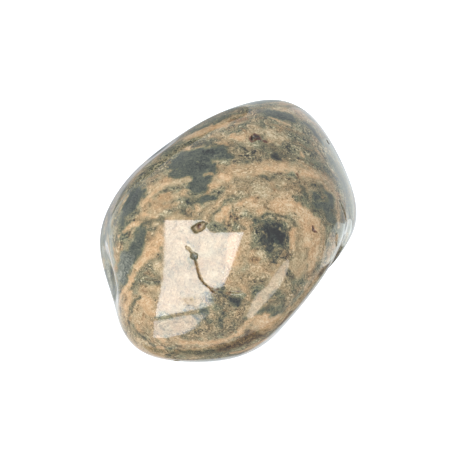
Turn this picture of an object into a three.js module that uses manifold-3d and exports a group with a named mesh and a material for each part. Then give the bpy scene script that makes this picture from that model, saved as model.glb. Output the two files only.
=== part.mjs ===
// Tumbled ocean jasper: one polished natural stone about 41 mm long, lying on its broad worn underside.
// A rounded many-sided pebble is the start. Its sides are slightly hollowed and waved, its underside is
// cut flat where it rests, and its open pits and its crack are cut in.
// Millimetres, +Z up. The origin lies on the surface that the stone rests on, under the stone's middle.
import * as THREE from 'three';
import { mergeVertices } from 'three/addons/utils/BufferGeometryUtils.js';
import Module from 'manifold-3d';

const wasm = await Module();
wasm.setup();

// Height of the stone's middle above the surface that it rests on.
const MIDDLE_HEIGHT = 11.3;
// Half the length, width and height of the smooth pebble that the sides were worn into.
const PEBBLE_RADII = new THREE.Vector3(26, 19.5, 14.8);
// How tightly the worn sides meet: 2 would be one smooth bulge, and hundreds a cut stone with sharp edges.
const EDGE_SHARPNESS = 10;
// The pebble's start has 20 times (SURFACE_STEPS + 1) squared triangles.
const SURFACE_STEPS = 16;
// The block that trims the underside is a cube wider than the stone is long.
const TRIM_BLOCK_SIZE = 60;
// Segments around and down each pit's cutter.
const PIT_SEGMENTS = 12;
const PIT_RINGS = 6;

// The worn sides: azimuth from +X and elevation in degrees, and distance from the middle in millimetres.
const SIDES = [
  { name: 'near slope', azimuth: -152, elevation: 38, distance: 15.6 },
  { name: 'near side', azimuth: -133, elevation: 2, distance: 19 },
  { name: 'right end', azimuth: -58, elevation: 10, distance: 20.1 },
  { name: 'right side', azimuth: -31, elevation: 25, distance: 18.1 },
  { name: 'shoulder', azimuth: -2, elevation: 30, distance: 21.6 },
  { name: 'far end', azimuth: 47, elevation: 34, distance: 21.6 },
  { name: 'far side', azimuth: 79, elevation: 30, distance: 15.7 },
  { name: 'far left', azimuth: 105, elevation: 23, distance: 16.5 },
  { name: 'left end', azimuth: 136, elevation: 9, distance: 20.2 },
  { name: 'left side', azimuth: 155, elevation: 7, distance: 19.5 },
  { name: 'near low', azimuth: -136, elevation: -24, distance: 21.1 },
  { name: 'near right', azimuth: -104, elevation: -24, distance: 19.1 },
  { name: 'right low', azimuth: -79, elevation: -14, distance: 15.3 },
  { name: 'under toe', azimuth: 154, elevation: -45, distance: 19.5 },
  { name: 'under right', azimuth: -15, elevation: -30, distance: 17.5 },
  { name: 'under near', azimuth: -60, elevation: -50, distance: 15.8 },
  { name: 'under far', azimuth: 45, elevation: -30, distance: 16 },
  { name: 'base', azimuth: 180, elevation: -88, distance: 11.6 },
];

// Shallow hollows worn into the outline: depth in millimetres, length and width as angles in degrees.
// Turn is the long axis's angle in degrees, from level, anticlockwise as seen from outside.
const WAISTS = [
  { name: 'right waist', azimuth: -75, elevation: -15, depth: 2.1, length: 19, width: 15, turn: 0 },
  { name: 'right valley', azimuth: -70, elevation: 11, depth: 0.7, length: 16, width: 5, turn: 22 },
  { name: 'left waist', azimuth: 158, elevation: -3, depth: 1.7, length: 12, width: 11, turn: 0 },
  { name: 'far hollow', azimuth: 92, elevation: 22, depth: 0.3, length: 14, width: 14, turn: 0 },
];

// Gentle swells that tumbling leaves: each runs along its own direction. Height in millimetres.
const SWELLS = [
  { azimuth: 20, elevation: 35, pace: 5.3, phase: 0, height: 0.07 },
  { azimuth: 140, elevation: 10, pace: 6.7, phase: 1, height: 0.06 },
  { azimuth: -60, elevation: 50, pace: 8.9, phase: 2, height: 0.04 },
  { azimuth: 80, elevation: -40, pace: 7.9, phase: 3, height: 0.045 },
];

// Open pits: length, width and depth in millimetres, and a turn as the waists have.
const PITS = [
  { name: 'eye', azimuth: -165.6, elevation: 57.8, length: 1.9, width: 1.25, depth: 0.9, turn: -104 },
  { name: 'red pit', azimuth: 18, elevation: 62.6, length: 1.15, width: 0.9, depth: 0.6, turn: -50 },
  { name: 'red pit tail', azimuth: 12, elevation: 61.3, length: 1.7, width: 0.4, depth: 0.3, turn: -146 },
  { name: 'red chip', azimuth: -74, elevation: 40, length: 0.75, width: 0.5, depth: 0.35, turn: 80 },
  { name: 'slot', azimuth: -131.5, elevation: 28.3, length: 2, width: 0.5, depth: 0.4, turn: 5 },
  { name: 'pale pit', azimuth: -124.5, elevation: 70, length: 0.6, width: 0.5, depth: 0.35, turn: 0 },
  { name: 'crevice', azimuth: -70.5, elevation: 4.5, length: 4.6, width: 1.1, depth: 0.7, turn: 10 },
  { name: 'edge chip', azimuth: -8, elevation: 22, length: 0.9, width: 0.5, depth: 0.35, turn: 30 },
  { name: 'olive groove', azimuth: -50, elevation: 25.2, length: 3.2, width: 0.6, depth: 0.35, turn: 54 },
  { name: 'orange groove', azimuth: -67, elevation: 26.3, length: 2, width: 0.6, depth: 0.3, turn: 46 },
  { name: 'left groove', azimuth: 162, elevation: 5, length: 3.4, width: 0.6, depth: 0.4, turn: 80 },
  { name: 'far pit', azimuth: 98, elevation: -4, length: 1.4, width: 0.9, depth: 0.5, turn: 25 },
  { name: 'far groove', azimuth: 62, elevation: 8, length: 3.2, width: 0.6, depth: 0.4, turn: -35 },
  { name: 'toe pit', azimuth: -158, elevation: -18, length: 1.1, width: 0.8, depth: 0.45, turn: 60 },
];

// The crack down the near slope, from its top end: each place is a hollow, and neighbours run together.
const CRACK = [
  { azimuth: -169, elevation: 45.8, length: 1.1, width: 0.6, depth: 0.4, turn: -20 },
  { azimuth: -164.8, elevation: 44.8, length: 1.4, width: 0.6, depth: 0.5, turn: -30 },
  { azimuth: -160.5, elevation: 42.9, length: 1.5, width: 1.2, depth: 0.8, turn: -50 },
  { azimuth: -157.7, elevation: 39.3, length: 1.4, width: 0.6, depth: 0.6, turn: -60 },
  { azimuth: -155.4, elevation: 35.7, length: 1.4, width: 0.6, depth: 0.6, turn: -63 },
  { azimuth: -152.8, elevation: 32.4, length: 1.6, width: 0.6, depth: 0.6, turn: -50 },
  { azimuth: -149.4, elevation: 30, length: 1.5, width: 0.55, depth: 0.5, turn: -32 },
  { azimuth: -146.4, elevation: 28.6, length: 1.4, width: 0.5, depth: 0.5, turn: -29 },
  { azimuth: -143.8, elevation: 27.4, length: 1.3, width: 1, depth: 0.6, turn: -20 },
];

const stoneMaterial = new THREE.MeshStandardMaterial({ color: 0x8f8268, roughness: 0.08, metalness: 0 });

// A direction from the stone's middle, from its azimuth and elevation in degrees.
function directionOf({ azimuth, elevation }) {
  const around = THREE.MathUtils.degToRad(azimuth);
  const up = THREE.MathUtils.degToRad(elevation);
  return new THREE.Vector3(Math.cos(around) * Math.cos(up), Math.sin(around) * Math.cos(up), Math.sin(up));
}

// The long, the short and the outward direction of a hollow at a place on the stone.
function frameOf(hollow) {
  const outward = directionOf(hollow);
  const along = new THREE.Vector3(0, 0, 1).cross(outward).normalize();
  along.applyAxisAngle(outward, THREE.MathUtils.degToRad(hollow.turn));
  return { along, across: outward.clone().cross(along), outward };
}

const sides = SIDES.map((side) => ({ ...side, outward: directionOf(side) }));
const waists = WAISTS.map((waist) => ({ ...waist, ...frameOf(waist) }));
const swells = SWELLS.map((swell) => ({ ...swell, outward: directionOf(swell) }));

// How deep a waist is in a direction: full at its middle, and fading as a bell curve both ways.
function waistDepth(direction, waist) {
  if (direction.dot(waist.outward) < 0) return 0;
  const alongAngle = THREE.MathUtils.radToDeg(Math.asin(direction.dot(waist.along)));
  const acrossAngle = THREE.MathUtils.radToDeg(Math.asin(direction.dot(waist.across)));
  return waist.depth * Math.exp(-((alongAngle / waist.length) ** 2) - (acrossAngle / waist.width) ** 2);
}

// How far the stone's surface is from its middle, in a direction.
function reachAlong(direction) {
  let crowding = direction.clone().divide(PEBBLE_RADII).length() ** EDGE_SHARPNESS;
  for (const side of sides) {
    crowding += Math.max(0, direction.dot(side.outward) / side.distance) ** EDGE_SHARPNESS;
  }
  let reach = crowding ** (-1 / EDGE_SHARPNESS);
  for (const waist of waists) {
    reach -= waistDepth(direction, waist);
  }
  for (const swell of swells) {
    reach += swell.height * Math.sin(swell.pace * direction.dot(swell.outward) + swell.phase);
  }
  return reach;
}

function surfacePoint(direction) {
  const point = direction.clone().multiplyScalar(reachAlong(direction));
  point.z += MIDDLE_HEIGHT;
  return point;
}

// A solid for joining and cutting, from a closed geometry.
function solidOf(geometry) {
  geometry.deleteAttribute('normal');
  geometry.deleteAttribute('uv');
  const merged = mergeVertices(geometry);
  const vertProperties = new Float32Array(merged.attributes.position.array);
  const triVerts = new Uint32Array(merged.index.array);
  return new wasm.Manifold(new wasm.Mesh({ numProp: 3, vertProperties, triVerts }));
}

function geometryOf(solid) {
  const mesh = solid.getMesh();
  const geometry = new THREE.BufferGeometry();
  geometry.setAttribute('position', new THREE.BufferAttribute(new Float32Array(mesh.vertProperties), 3));
  geometry.setIndex(new THREE.BufferAttribute(new Uint32Array(mesh.triVerts), 1));
  geometry.computeVertexNormals();
  return geometry;
}

// The worn pebble before anything is cut: an even ball whose points are moved out to the surface.
function pebble() {
  const ball = new THREE.IcosahedronGeometry(1, SURFACE_STEPS);
  const position = ball.attributes.position;
  for (let i = 0; i < position.count; i++) {
    const direction = new THREE.Vector3().fromBufferAttribute(position, i).normalize();
    const point = surfacePoint(direction);
    position.setXYZ(i, point.x, point.y, point.z);
  }
  return solidOf(ball);
}

// Everything under the resting face, as a block to cut away.
function belowRestingFace() {
  const block = new THREE.BoxGeometry(TRIM_BLOCK_SIZE, TRIM_BLOCK_SIZE, TRIM_BLOCK_SIZE);
  return solidOf(block.translate(0, 0, -TRIM_BLOCK_SIZE / 2));
}

// A pit's cutter: a squashed ball whose middle lies on the stone's surface.
function pitCutter(pit) {
  const { along, across, outward } = frameOf(pit);
  const ball = new THREE.SphereGeometry(1, PIT_SEGMENTS, PIT_RINGS);
  ball.scale(pit.length / 2, pit.width / 2, pit.depth);
  ball.applyMatrix4(new THREE.Matrix4().makeBasis(along, across, outward));
  ball.translate(...surfacePoint(outward));
  return solidOf(ball);
}

function jasper() {
  const cutters = [...PITS, ...CRACK].map(pitCutter).reduce((joined, cutter) => joined.add(cutter));
  const solid = pebble().subtract(belowRestingFace()).subtract(cutters);
  const mesh = new THREE.Mesh(geometryOf(solid), stoneMaterial);
  mesh.name = 'stone';
  return mesh;
}

const group = new THREE.Group();
group.add(jasper());

export default group;
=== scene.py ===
import math

import bmesh
import bpy
import numpy as np
from mathutils import Matrix, Vector, noise
from mathutils.bvhtree import BVHTree


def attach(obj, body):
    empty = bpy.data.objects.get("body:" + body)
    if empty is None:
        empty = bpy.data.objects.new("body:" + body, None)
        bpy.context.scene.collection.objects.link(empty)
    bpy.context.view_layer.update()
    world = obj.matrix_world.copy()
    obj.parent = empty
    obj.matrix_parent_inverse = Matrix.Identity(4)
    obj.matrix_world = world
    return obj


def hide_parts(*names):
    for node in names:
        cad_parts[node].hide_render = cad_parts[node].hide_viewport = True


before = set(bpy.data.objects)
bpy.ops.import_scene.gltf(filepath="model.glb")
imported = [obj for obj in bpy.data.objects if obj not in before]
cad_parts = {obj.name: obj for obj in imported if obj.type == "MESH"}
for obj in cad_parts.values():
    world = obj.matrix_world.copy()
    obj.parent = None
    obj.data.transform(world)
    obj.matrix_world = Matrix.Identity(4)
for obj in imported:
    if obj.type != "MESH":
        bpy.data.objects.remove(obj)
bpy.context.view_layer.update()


# The camera
# It looks down on the stone from its near right, from 30 centimetres away, through a long lens.
# Places in the picture are millimetres right of and above the stone's middle, as the camera sees them.
MM = 0.001
MIDDLE = np.array([0.0, 0.0, 11.3])
VIEW_AZIMUTH = -135
VIEW_ELEVATION = 60
VIEW_DISTANCE = 300
PICTURE_WIDTH = 65.3
SENSOR_WIDTH = 36
NEAREST_SEEN = 10
QUARTER_TURN = 90


def direction_of(azimuth, elevation):
    """A direction from its azimuth, counted from +X, and its elevation, both in degrees."""
    around = math.radians(azimuth)
    up = math.radians(elevation)
    return np.array([math.cos(around) * math.cos(up), math.sin(around) * math.cos(up), math.sin(up)])


def put_in_scene(name, data):
    """A new object in the scene, from its mesh, camera or light."""
    made = bpy.data.objects.new(name, data)
    bpy.context.scene.collection.objects.link(made)
    return made


view_back = direction_of(VIEW_AZIMUTH, VIEW_ELEVATION)
view_right = direction_of(VIEW_AZIMUTH + QUARTER_TURN, 0)
view_up = np.cross(view_back, view_right)
eye = MIDDLE + view_back * VIEW_DISTANCE

camera_data = bpy.data.cameras.new("camera")
camera_data.sensor_width = SENSOR_WIDTH
camera_data.lens = SENSOR_WIDTH * VIEW_DISTANCE / PICTURE_WIDTH
camera_data.clip_start = NEAREST_SEEN * MM
camera = put_in_scene("camera", camera_data)
camera_turn = Matrix([view_right, view_up, view_back]).transposed()
camera.matrix_world = Matrix.Translation(Vector(eye) * MM) @ camera_turn.to_4x4()
bpy.context.scene.camera = camera


# The stone's form
# One natural pebble of jasper, rounded by weeks of tumbling in grit. Its worn sides meet in soft edges,
# two waists are worn into its outline, and it lies on a flat patch of its underside.
PEBBLE_RADII = np.array([26, 19.5, 14.8])
EDGE_SHARPNESS = 10
# Azimuth and elevation in degrees, and distance from the middle in millimetres.
SIDES = {
    "near slope": (-152, 38, 15.6),
    "near side": (-133, 2, 19),
    "right end": (-58, 10, 20.1),
    "right side": (-31, 25, 18.1),
    "shoulder": (-2, 30, 21.6),
    "far end": (47, 34, 21.6),
    "far side": (79, 30, 15.7),
    "far left": (105, 23, 16.5),
    "left end": (136, 9, 20.2),
    "left side": (155, 7, 19.5),
    "near low": (-136, -24, 21.1),
    "near right": (-104, -24, 19.1),
    "right low": (-79, -14, 15.3),
    "under toe": (154, -45, 19.5),
    "under right": (-15, -30, 17.5),
    "under near": (-60, -50, 15.8),
    "under far": (45, -30, 16),
    "base": (180, -88, 11.6),
}
# Azimuth, elevation, depth in millimetres, length and width in degrees, and turn of the long axis.
WAISTS = {
    "right waist": (-75, -15, 2.1, 19, 15, 0),
    "right valley": (-70, 11, 0.7, 16, 5, 22),
    "left waist": (158, -3, 1.7, 12, 11, 0),
    "far hollow": (92, 22, 0.3, 14, 14, 0),
}
# Azimuth, elevation, pace, phase, and height in millimetres.
SWELLS = [
    (20, 35, 5.3, 0, 0.07),
    (140, 10, 6.7, 1, 0.06),
    (-60, 50, 8.9, 2, 0.04),
    (80, -40, 7.9, 3, 0.045),
]
START_SUBDIVISIONS = 7


def hollow_axes(azimuth, elevation, turn):
    """The long, the short and the outward direction of a hollow at a place on the stone."""
    outward = direction_of(azimuth, elevation)
    level = np.cross([0, 0, 1], outward)
    level /= np.linalg.norm(level)
    rise = np.cross(outward, level)
    angle = math.radians(turn)
    along = level * math.cos(angle) + rise * math.sin(angle)
    return along, np.cross(outward, along), outward


def reach_along(directions):
    """How far the polished surface is from the stone's middle, in each direction, in millimetres."""
    crowding = np.linalg.norm(directions / PEBBLE_RADII, axis=1) ** EDGE_SHARPNESS
    for azimuth, elevation, distance in SIDES.values():
        toward = directions @ direction_of(azimuth, elevation)
        crowding += np.maximum(0, toward / distance) ** EDGE_SHARPNESS
    reach = crowding ** (-1 / EDGE_SHARPNESS)
    for azimuth, elevation, depth, length, width, turn in WAISTS.values():
        along, across, outward = hollow_axes(azimuth, elevation, turn)
        along_angle = np.degrees(np.arcsin(np.clip(directions @ along, -1, 1)))
        across_angle = np.degrees(np.arcsin(np.clip(directions @ across, -1, 1)))
        bell = np.exp(-((along_angle / length) ** 2) - (across_angle / width) ** 2)
        reach -= np.where(directions @ outward > 0, depth * bell, 0)
    for azimuth, elevation, pace, phase, height in SWELLS:
        reach += height * np.sin(pace * (directions @ direction_of(azimuth, elevation)) + phase)
    return reach


def polished_surface(directions):
    """The stone's surface before any pit, in each direction from its middle."""
    return MIDDLE + directions * reach_along(directions)[:, None]


def directions_of(shape):
    """The directions of a mesh's vertices from its middle, after they are set back on the unit ball."""
    places = np.array([vert.co for vert in shape.verts])
    return places / np.linalg.norm(places, axis=1)[:, None]


pebble = bmesh.new()
bmesh.ops.create_icosphere(pebble, subdivisions=START_SUBDIVISIONS, radius=1)


# The open pits and the crack
# Natural cavities of the jasper that tumbling has opened: ragged hollows with steep walls, and a crack
# that runs down the near slope from hole to hole.
# Azimuth, elevation, length, width and depth in millimetres, and turn of the long axis.
PITS = {
    "eye": (-165.6, 57.8, 2.2, 1.3, 0.9, -124),
    "red pit": (18, 62.6, 1.15, 0.9, 0.6, -50),
    "red pit tail": (12, 61.3, 1.7, 0.4, 0.3, -146),
    "red chip": (-74, 40, 0.75, 0.5, 0.35, 80),
    "slot": (-131.5, 28.3, 2, 0.5, 0.4, 5),
    "pale pit": (-124.5, 70, 0.6, 0.5, 0.35, 0),
    "crevice": (-70.5, 4.5, 4.6, 1.1, 0.7, 10),
    "edge chip": (-8, 22, 0.9, 0.5, 0.35, 30),
    "olive groove": (-50, 25.2, 3.2, 0.6, 0.35, 54),
    "orange groove": (-67, 26.3, 2, 0.6, 0.3, 46),
    "left groove": (162, 5, 3.4, 0.6, 0.4, 80),
    "far pit": (98, -4, 1.4, 0.9, 0.5, 25),
    "far groove": (62, 8, 3.2, 0.6, 0.4, -35),
    "toe pit": (-158, -18, 1.1, 0.8, 0.45, 60),
}
CRACK = [
    (-167, 45.3, 0.8, 0.4, 0.25, -25),
    (-164.8, 44.8, 1.4, 0.42, 0.35, -30),
    (-160.5, 42.9, 1.2, 1, 0.6, -50),
    (-157.7, 39.3, 1.4, 0.32, 0.4, -60),
    (-155.4, 35.7, 1.4, 0.35, 0.45, -63),
    (-152.8, 32.4, 1.6, 0.42, 0.45, -50),
    (-149.4, 30, 1.5, 0.28, 0.35, -32),
    (-146.4, 28.6, 1.4, 0.28, 0.3, -29),
    (-143.8, 27.4, 1.1, 0.7, 0.4, -20),
]
CAVITIES = [*PITS.values(), *CRACK]
# Pits are ragged: their rims wander by this share of their size, over patches of this many millimetres.
PIT_RAGGEDNESS = 0.3
PIT_RAG_SIZE = 0.45
# Edges longer than this, in millimetres, are cut: in the pits, and on the side that the camera sees.
PIT_EDGE = 0.1
SEEN_EDGE = 0.22
SEEN_FACING = 0.25
PIT_MARGIN = 1.7
REFINING_ROUNDS = 3
# More than any reach out of a pit, and than any edge.
FAR_OFF = 99
# Each finer layer of a cloud is this many times finer, and weaker by this power of it.
CLOUD_STEP = 2
CLOUD_FADE = 1
SEED_SHIFT = Vector((7.3, 3.1, 5.7))


def clouds(places, size, seed, octaves=3):
    """Soft noise about zero, at places in millimetres, with blobs of about the given size."""
    shift = SEED_SHIFT * seed
    spots = [Vector(place) / size + shift for place in places]
    return np.array([noise.fractal(spot, CLOUD_FADE, CLOUD_STEP, octaves) for spot in spots])


def pit_reach(places, pit):
    """How far out in a pit each place is, 1 being its rim."""
    azimuth, elevation, length, width, depth, turn = pit
    along, across, outward = hollow_axes(azimuth, elevation, turn)
    rim_middle = polished_surface(outward[None])[0]
    offsets = places - rim_middle
    reach = np.hypot(offsets @ along / (length / 2), offsets @ across / (width / 2))
    return np.where((places - MIDDLE) @ outward > 0, reach, FAR_OFF)


def nearest_pit(places):
    """How far out in its nearest pit each place is."""
    return np.min([pit_reach(places, pit) for pit in CAVITIES], axis=0)


def pit_depth(places):
    """How deep under the polish each place lies, in millimetres."""
    depth = np.zeros(len(places))
    near = np.flatnonzero(nearest_pit(places) < PIT_MARGIN)
    rag = 1 + PIT_RAGGEDNESS * clouds(places[near], PIT_RAG_SIZE, seed=1, octaves=4)
    for pit in CAVITIES:
        deepest = pit[4]
        bowl = np.sqrt(np.maximum(0, 1 - (pit_reach(places[near], pit) * rag) ** 2))
        depth[near] = np.maximum(depth[near], deepest * bowl)
    return depth


def refine(shape):
    """Cuts the edges that are too long for what they have to show, once."""
    edges = list(shape.edges)
    starts = np.array([edge.verts[0].co for edge in edges])
    ends = np.array([edge.verts[1].co for edge in edges])
    starts = polished_surface(starts / np.linalg.norm(starts, axis=1)[:, None])
    ends = polished_surface(ends / np.linalg.norm(ends, axis=1)[:, None])
    middles = (starts + ends) / 2
    outward = middles - MIDDLE
    facing = outward @ view_back / np.linalg.norm(outward, axis=1)
    limit = np.where(facing > SEEN_FACING, SEEN_EDGE, FAR_OFF)
    limit = np.where(nearest_pit(middles) < PIT_MARGIN, PIT_EDGE, limit)
    long_edges = np.flatnonzero(np.linalg.norm(starts - ends, axis=1) > limit)
    bmesh.ops.subdivide_edges(shape, edges=[edges[number] for number in long_edges], cuts=1)
    bmesh.ops.triangulate(shape, faces=[face for face in shape.faces if len(face.verts) > 3])


for _ in range(REFINING_ROUNDS):
    refine(pebble)

directions = directions_of(pebble)
surface = polished_surface(directions)
cavity = pit_depth(surface)
places = surface - directions * cavity[:, None]
places[:, 2] = np.maximum(places[:, 2], 0)
for vert, place in zip(pebble.verts, places):
    vert.co = place * MM
bmesh.ops.recalc_face_normals(pebble, faces=pebble.faces)
for face in pebble.faces:
    face.smooth = True


# The markings
# Ocean jasper is silica that set in layers and orbs, and what colours it grew through it like moss. The
# layers are shells around a core inside the stone and around the orbs, bent by slow clouds.
# Each paint is a tone from dark to pale, a warmth, how mossy it is, and how rusty. The warmth goes from
# green at nothing to peach at one, and below nothing to grey.
INK = (0.02, 0.2, 0.2, 0)
SLATE = (0.16, -0.35, 0.22, 0)
ASH = (0.3, -0.6, 0.45, 0)
SMOKE = (0.25, 0.2, 0.5, 0)
MOSS = (0.38, 0.15, 0.95, 0)
OLIVE = (0.49, 0.44, 0.72, 0)
TAN = (0.64, 0.6, 0.6, 0)
SAND = (0.65, 0.52, 0.3, 0)
PEACH = (0.79, 0.9, 0.4, 0)
CREAM = (0.75, 0.42, 0.65, 0)
BROWN = (0.38, 0.9, 0.4, 0)
PLUM = (0.22, 0.75, 0.5, 0)
UMBER = (0.33, 0.35, 1, 0)
# Painted reflection: a pale grey laid along the left rim, where the polish shows a grazing reflection.
PAINTED_RIM_REFLECTION = (0.58, -0.5, 0.5, 0)
RUST = (0.3, 1, 0.2, 1)

# The core runs under the surface between two places in the picture, which also shows one orb.
CORE_START = (-8.5, -12.8)
CORE_END = (6.4, -1.4)
CORE_DEPTH = 4
SEEN_ORB = (6.2, -0.9)
# Azimuth and elevation of the orbs on the sides that the picture doesn't show.
HIDDEN_ORBS = [(110, 10), (60, 35), (20, -10), (165, -25), (-100, -30), (75, -40)]
ORB_DEPTH = 2.5
ORB_HEAD_START = 3
SHELL_BLEND = 1.6
# The layers are bent by broad clouds and by fine ones, each of a size and a strength in millimetres.
BROAD_CLOUDS = 6
BROAD_BEND = 1.6
FINE_CLOUDS = 1.6
FINE_BEND = 0.35
# A line of one place alone counts as this long.
SHORTEST_SPAN = 1e-9

stone_tree = BVHTree.FromBMesh(pebble)


def on_stone(right, up):
    """The place on the stone that the picture shows at a place in millimetres from its middle."""
    target = MIDDLE + view_right * right + view_up * up
    toward = target - eye
    hit = stone_tree.ray_cast(Vector(eye) * MM, Vector(toward))[0]
    return np.array(hit) / MM


def sunk(place, depth):
    """A place moved toward the stone's middle."""
    inward = MIDDLE - place
    return place + inward / np.linalg.norm(inward) * depth


def distance_to_line(points, start, end):
    """How far each point is from the straight line between two places."""
    span = end - start
    share = np.clip((points - start) @ span / max(span @ span, SHORTEST_SPAN), 0, 1)
    return np.linalg.norm(points - start - share[:, None] * span, axis=1)


def shells(points):
    """How far each point is from the core, or from an orb if that is nearer, in millimetres."""
    core_start = sunk(on_stone(*CORE_START), CORE_DEPTH)
    core_end = sunk(on_stone(*CORE_END), CORE_DEPTH)
    nearness = np.exp(-distance_to_line(points, core_start, core_end) / SHELL_BLEND)
    orbs = [on_stone(*SEEN_ORB)]
    orbs += [polished_surface(direction_of(*orb)[None])[0] for orb in HIDDEN_ORBS]
    for orb in orbs:
        away = np.linalg.norm(points - sunk(orb, ORB_DEPTH), axis=1) - ORB_DEPTH + ORB_HEAD_START
        nearness += np.exp(-away / SHELL_BLEND)
    return -SHELL_BLEND * np.log(nearness)


def smooth_step(low, high, value):
    """Nothing below the low end, one above the high end, and a soft rise between."""
    share = np.clip((value - low) / (high - low), 0, 1)
    return share * share * (3 - 2 * share)


wander = np.stack([clouds(places, BROAD_CLOUDS, seed) for seed in (2, 3, 4)], axis=1)
ripple = np.stack([clouds(places, FINE_CLOUDS, seed) for seed in (5, 6, 7)], axis=1)
strata = shells(places + BROAD_BEND * wander + FINE_BEND * ripple)

# The natural pattern: broad bands along the shells, dark patches stretched along them, and moss between.
# It is calmer on the side that the picture shows, where the strokes below carry the pattern.
BAND_THICKNESS = 2.2
BAND_LENGTH = 9
SIDEWAYS = np.array([0.8, 0.2, 0.55])
LENGTHWAYS = np.array([-0.3, 0.85, -0.4])
PATCH_STRETCH = np.array([0.55, 1.7, 1.7])
PATCH_EDGE = (0.16, 0.3)
PATCH_PAINT = (0.07, 0.1, 0.15, 0)
SEEN_CALM = 0.6
CALM_EDGE = (-0.15, 0.2)
# Middle, swing with the bands, lowest and highest of each measure of the pattern.
NATURAL_TONE = (0.5, 0.75, 0.15, 0.9)
NATURAL_WARMTH = (0.32, 1.4, 0, 1)
NATURAL_MOSS = (0.8, -1.2, 0.15, 0.95)
RIPPLE_WARMTH = 0.5

across = places @ SIDEWAYS / BAND_LENGTH
lengthwise = places @ LENGTHWAYS / BAND_LENGTH
along_shells = np.stack([strata / BAND_THICKNESS, across, lengthwise], axis=1)
bands = clouds(along_shells, size=1, seed=8)
patches = clouds(along_shells * PATCH_STRETCH, size=1, seed=9)
facing = directions @ view_back
wildness = 1 - SEEN_CALM * smooth_step(*CALM_EDGE, facing)


def natural(measure, swing, extra=0):
    """A measure of the natural pattern, from how far the bands swing it."""
    middle, gain, lowest, highest = measure
    return np.clip(middle + gain * swing + extra, lowest, highest)


tone = natural(NATURAL_TONE, bands * wildness)
warmth = natural(NATURAL_WARMTH, bands * wildness, RIPPLE_WARMTH * ripple[:, 0])
moss = natural(NATURAL_MOSS, np.abs(bands) * wildness)
pattern = np.stack([tone, warmth, moss, np.zeros(len(places))], axis=1)
# The patches die away twice as fast as the bands toward the side that the picture shows.
patch_share = smooth_step(*PATCH_EDGE, patches) * np.maximum(0, 2 * wildness - 1)
pattern += (np.array(PATCH_PAINT) - pattern) * patch_share[:, None]

# The markings that show in the picture are laid over the natural pattern as strokes of paint: each has a
# paint, a width in millimetres and the places that it runs through. Its edge is ragged by fuzz, and soft
# over a share of its width, within limits. A thin stroke covers less than a broad one.
# A few strokes paint light and shade rather than stone: a pale reflection along the left rim, glints at the
# slot and at the crack's lower end, and shade in the crevice at the right.
FUZZ_SIZE = 0.65
FUZZ = 0.42
STROKE_EDGE = 0.3
FINEST_EDGE = 0.12
BROADEST_EDGE = 0.42
STROKE_WANDER = 0.3
STROKE_COVER = 0.93
THIN_COVER = 0.62
COVER_GAIN = 0.45
STRATA_FOLLOW = 0.55
STROKES_FACING = -0.2

fuzz = FUZZ * clouds(places, FUZZ_SIZE, seed=10, octaves=4)
wandered = places + STROKE_WANDER * ripple
seen = np.flatnonzero(facing > STROKES_FACING)


def stroke(paint, width, *path):
    """Lays a stroke of paint over the pattern, with a ragged edge. The strata then bend along it."""
    line = [on_stone(right, up) for right, up in path]
    points = wandered[seen]
    if len(line) == 1:
        line *= 2
    spans = zip(line, line[1:])
    nearest = np.min([distance_to_line(points, start, end) for start, end in spans], axis=0)
    ragged = width / 2 - nearest + fuzz[seen] * min(1, width)
    edge = min(max(FINEST_EDGE, STROKE_EDGE * width), BROADEST_EDGE)
    cover = min(STROKE_COVER, THIN_COVER + COVER_GAIN * width) * smooth_step(-edge, edge, ragged)
    pattern[seen] += (np.array(paint) - pattern[seen]) * cover[:, None]
    strata[seen] += (nearest - strata[seen]) * cover * STRATA_FOLLOW


# The far edge, from its left end.
stroke(OLIVE, 1.2, (-8.5, 12.3), (-6.5, 13.6), (-4.5, 14.8), (-2.8, 15.7), (-1, 16.3), (1, 17))
stroke(PEACH, 0.9, (-10.8, 9.9), (-9.5, 11.2), (-8.3, 12), (-7, 12.9), (-5.5, 13.5))
stroke(PEACH, 2, (-5.6, 13.4), (-4.2, 13.9), (-3, 14.4), (-2, 14.7), (-0.7, 15.2))
stroke(TAN, 0.8, (-12.6, 8.9), (-11.8, 9.4))
stroke(TAN, 0.9, (-1, 15.2), (0.6, 16.2), (2.4, 16.3))
stroke(BROWN, 0.9, (0.2, 15.5), (2.6, 15.7))
stroke(TAN, 0.5, (1.5, 17.4), (3, 17.7), (5, 17.9), (7, 18.1))
stroke(MOSS, 1.1, (-9.5, 10.4), (-8, 10.9), (-7.2, 11.8), (-6, 12.3), (-5, 12.4), (-3.5, 12.6), (-2, 12.8))
stroke(CREAM, 0.9, (-1.6, 13.6), (0, 13), (1.2, 12.8), (2.3, 12.7))
stroke(PEACH, 0.9, (0.4, 13.2), (1.7, 13.2))
stroke(BROWN, 0.4, (0.5, 14.1), (1.3, 14.3), (2.2, 14))
stroke(CREAM, 1.6, (3.3, 14.6), (4, 14.2))
stroke(SMOKE, 1.8, (4.6, 16.9), (6.2, 16.5), (8.2, 16.1))
stroke(SLATE, 2.1, (6, 16.5), (7.4, 16.2), (8.6, 16))
stroke(OLIVE, 0.5, (3, 17.3), (5, 17.4), (7, 17.6), (8.5, 17.4))
stroke(TAN, 0.8, (9, 17.5), (10.3, 16.9), (11.4, 16))
stroke(RUST, 0.2, (10, 17.1), (10.4, 16.8))
stroke(SLATE, 1.1, (10.4, 15.2), (11.2, 14.8), (11.9, 14), (12.5, 13.2), (13, 12.5))
stroke(PEACH, 0.35, (5.6, 15.9), (7.3, 15.2), (9.2, 14.6))
stroke(BROWN, 0.3, (5.4, 15.1), (7.3, 14.6), (8.6, 14.2))
stroke(CREAM, 1.7, (5.7, 13.6), (6.6, 13.2), (7.6, 13))
stroke(MOSS, 1.4, (8.6, 13.6), (9.7, 13), (11, 12.5))
stroke(SMOKE, 0.35, (4.6, 14.9), (4.8, 14.3), (5.1, 13.6))

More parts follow.
